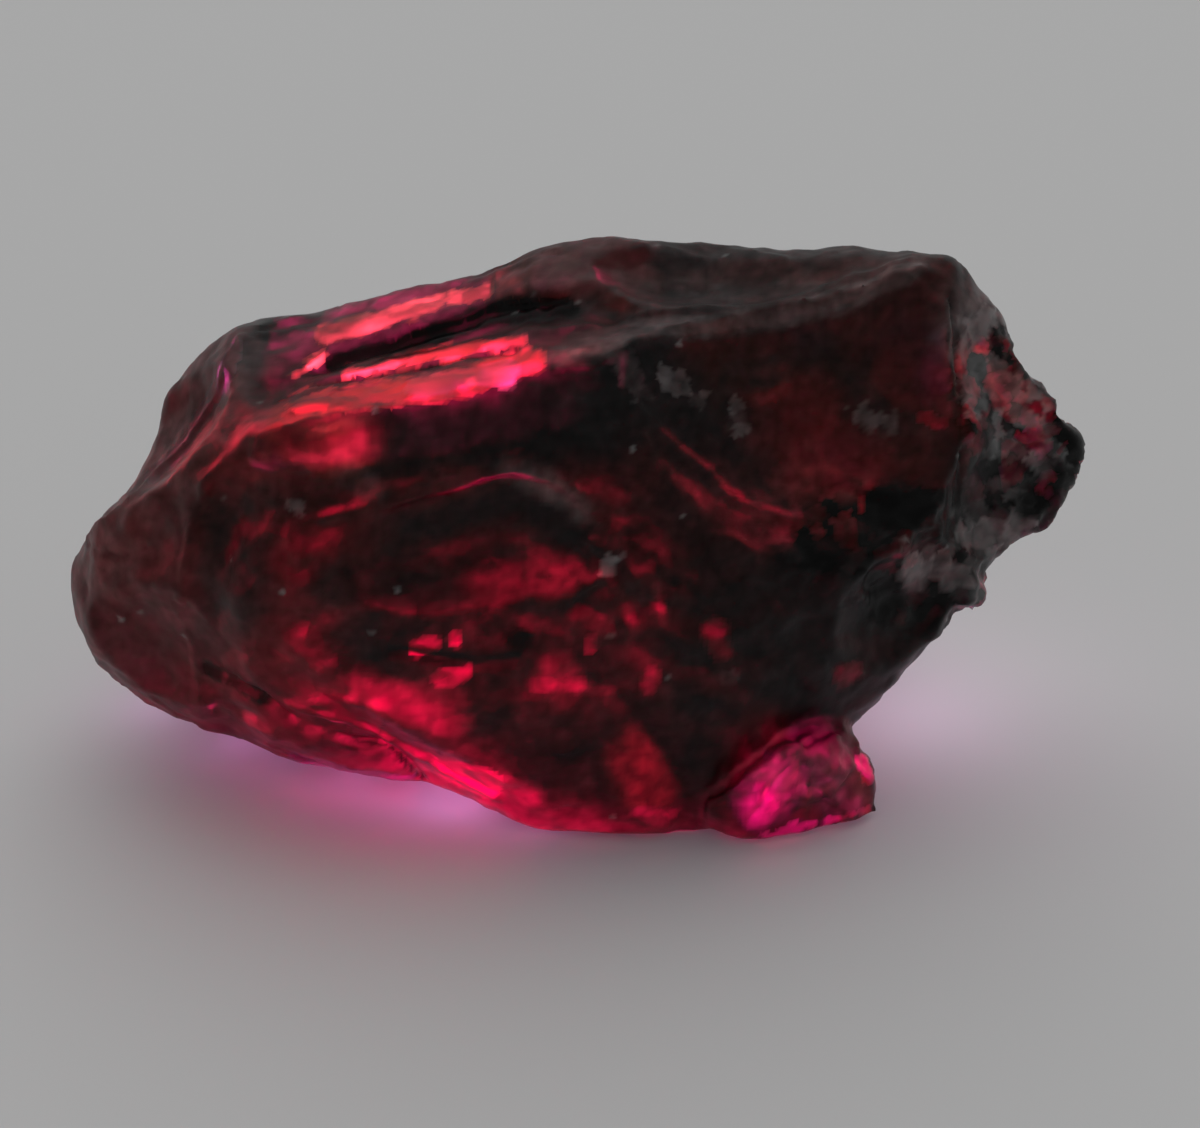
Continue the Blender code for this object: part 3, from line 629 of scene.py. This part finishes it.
DEPTH_COLOUR = (0.98, 0.70, 0.90, 1.0)
DEPTH_PER_METRE = 1500.0
DUST_ROUGHNESS = 0.5
DUST_IOR = 2.3
DIM_SHEEN = (0.15, 0.15, 0.15, 1.0)
GARNET_IOR = 1.76
GRAINS_PER_METRE = 3500.0
GRAIN_HEIGHT = 0.03 * MM
GRAIN_STRENGTH = 0.35


def new_material(name):
    material = bpy.data.materials.new(name)
    material.use_nodes = True
    nodes = material.node_tree.nodes
    nodes.clear()
    output = nodes.new("ShaderNodeOutputMaterial")
    shader = nodes.new("ShaderNodeBsdfPrincipled")
    material.node_tree.links.new(shader.outputs["BSDF"], output.inputs["Surface"])
    return material, nodes, material.node_tree.links, shader, output


glass, nodes, links, shader, output = new_material("clear_red_garnet")
on_sockets = (("skin_tint_and_painted_glow", "Base Color"), ("skin_dust", "Coat Weight"), ("skin_dullness", "Roughness"))
for layer, socket in on_sockets:
    on_skin = nodes.new("ShaderNodeVertexColor")
    on_skin.layer_name = layer
    links.new(on_skin.outputs["Color"], shader.inputs[socket])
shader.inputs["Coat Roughness"].default_value = DUST_ROUGHNESS
shader.inputs["Coat IOR"].default_value = DUST_IOR
shader.inputs["Specular Tint"].default_value = DIM_SHEEN
shader.inputs["Metallic"].default_value = 0.0
shader.inputs["IOR"].default_value = GARNET_IOR
shader.inputs["Transmission Weight"].default_value = 1.0
position = nodes.new("ShaderNodeTexCoord")
fine = nodes.new("ShaderNodeTexNoise")
fine.inputs["Scale"].default_value = GRAINS_PER_METRE
fine.inputs["Detail"].default_value = 4.0
fine.inputs["Roughness"].default_value = 0.6
links.new(position.outputs["Object"], fine.inputs["Vector"])
bump = nodes.new("ShaderNodeBump")
bump.inputs["Strength"].default_value = GRAIN_STRENGTH
bump.inputs["Distance"].default_value = GRAIN_HEIGHT
links.new(fine.outputs["Fac"], bump.inputs["Height"])
links.new(bump.outputs["Normal"], shader.inputs["Normal"])
depth = nodes.new("ShaderNodeVolumeAbsorption")
depth.inputs["Color"].default_value = DEPTH_COLOUR
depth.inputs["Density"].default_value = DEPTH_PER_METRE
links.new(depth.outputs["Volume"], output.inputs["Volume"])
stone.data.materials.clear()
stone.data.materials.append(glass)

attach(stone, "root")
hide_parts("garnet")

# The paper under the stone
# Plain pale matt paper, wider than the view. It lies a hair below the stone, so that the two faces
# don't share a plane.

PAPER_SIZE = 8.0
PAPER_GAP = 0.01 * MM
PAPER_GREY = (0.60, 0.60, 0.60, 1.0)
bpy.ops.mesh.primitive_plane_add(size=PAPER_SIZE, location=(0, 0, -PAPER_GAP))
paper = bpy.context.object
paper.name = "paper"
card, nodes, links, shader, output = new_material("pale_paper")
shader.inputs["Base Color"].default_value = PAPER_GREY
shader.inputs["Roughness"].default_value = 0.9
paper.data.materials.append(card)

# Light and room
# A wide soft window light behind and above the stone, and a dim room in front of it. The skin
# mirrors an even dim light instead, and the window is brighter for light that comes through the
# stone, in place of the many bounces inside it that the render leaves out.

SKY_SIDE = Vector((-0.05, 0.66, 0.75)).normalized()
ROOM_BRIGHT = 0.22
WINDOW_BRIGHT = 1.52
WINDOW_EDGE = (0.50, 1.00)
SHEEN_BRIGHT = 0.24
THROUGH_BRIGHT = 16.0
THROUGH_EDGE = (0.35, 0.90)
world = bpy.data.worlds.new("window_sky")
bpy.context.scene.world = world
world.use_nodes = True
nodes = world.node_tree.nodes
links = world.node_tree.links
direction = nodes.new("ShaderNodeTexCoord")
towards = nodes.new("ShaderNodeVectorMath")
towards.operation = "DOT_PRODUCT"
towards.inputs[1].default_value = SKY_SIDE
links.new(direction.outputs["Generated"], towards.inputs[0])


def spread(edge, bright):
    ramp = nodes.new("ShaderNodeMapRange")
    ramp.interpolation_type = "SMOOTHSTEP"
    ramp.inputs["From Min"].default_value = edge[0]
    ramp.inputs["From Max"].default_value = edge[1]
    ramp.inputs["To Min"].default_value = ROOM_BRIGHT
    ramp.inputs["To Max"].default_value = bright
    links.new(towards.outputs["Value"], ramp.inputs["Value"])
    return ramp.outputs["Result"]


ray = nodes.new("ShaderNodeLightPath")
dimmed = nodes.new("ShaderNodeMix")
links.new(ray.outputs["Is Glossy Ray"], dimmed.inputs["Factor"])
links.new(spread(WINDOW_EDGE, WINDOW_BRIGHT), dimmed.inputs["A"])
dimmed.inputs["B"].default_value = SHEEN_BRIGHT
either = nodes.new("ShaderNodeMix")
links.new(ray.outputs["Is Transmission Ray"], either.inputs["Factor"])
links.new(dimmed.outputs["Result"], either.inputs["A"])
links.new(spread(THROUGH_EDGE, THROUGH_BRIGHT), either.inputs["B"])
links.new(either.outputs["Result"], nodes["Background"].inputs["Strength"])
nodes["Background"].inputs["Color"].default_value = (1.0, 1.0, 1.0, 1.0)
bpy.context.scene.view_settings.view_transform = "Standard"

# Red light that leaves the stone low down colours the paper beside it: lilac along the lower left
# edge, paler under the overhanging right end. Small lamps inside the stone stand for it, each with
# its place and radius in mm, its strength and its colour.

LILAC = (0.80, 0.28, 0.74)
PALE_LILAC = (1.0, 0.72, 0.98)
GLOW_LAMPS = (
    ((-9.2, -0.6, 1.2), 0.5, 2.0, LILAC),
    ((-7.3, -2.1, 1.0), 0.4, 2.8, LILAC),
    ((-5.6, -3.1, 0.9), 0.4, 2.8, LILAC),
    ((-4.0, -3.8, 0.8), 0.4, 3.4, LILAC),
    ((-2.7, -4.5, 0.8), 0.3, 4.6, LILAC),
    ((-1.2, -5.2, 0.7), 0.3, 1.8, LILAC),
    ((4.2, -4.2, 0.8), 0.4, 1.0, LILAC),
    ((7.2, -1.0, 3.0), 1.2, 23.0, PALE_LILAC),
)
GLOW_POWER = 0.00001
for number, (place, radius, strength, colour) in enumerate(GLOW_LAMPS):
    lamp = bpy.data.lights.new(f"glow_{number}", "POINT")
    lamp.energy = GLOW_POWER * strength
    lamp.color = colour
    lamp.shadow_soft_size = radius * MM
    lamp.use_shadow = False
    holder = bpy.data.objects.new(lamp.name, lamp)
    holder.location = Vector(place) * MM
    holder.visible_camera = False
    holder.visible_glossy = False
    holder.visible_transmission = False
    bpy.context.scene.collection.objects.link(holder)

# Camera
# It looks straight at the stone's front, down at 30 degrees, from so far that lines stay nearly
# parallel. VIEW_WIDTH is how much of the paper it sees from side to side.

VIEW_WIDTH = 0.02632
AIM = Vector((0.000515, 0.0, 0.003277))
LENS = 200.0
camera_data = bpy.data.cameras.new("camera")
camera_data.lens = LENS
camera_data.clip_start = 0.001
camera = bpy.data.objects.new("camera", camera_data)
bpy.context.scene.collection.objects.link(camera)
distance = VIEW_WIDTH * LENS / camera_data.sensor_width
camera.location = AIM + distance * Vector(OUT_OF_FRONT)
camera.rotation_euler = (math.pi / 2 - FRONT_TILT, 0, 0)
bpy.context.scene.camera = camera
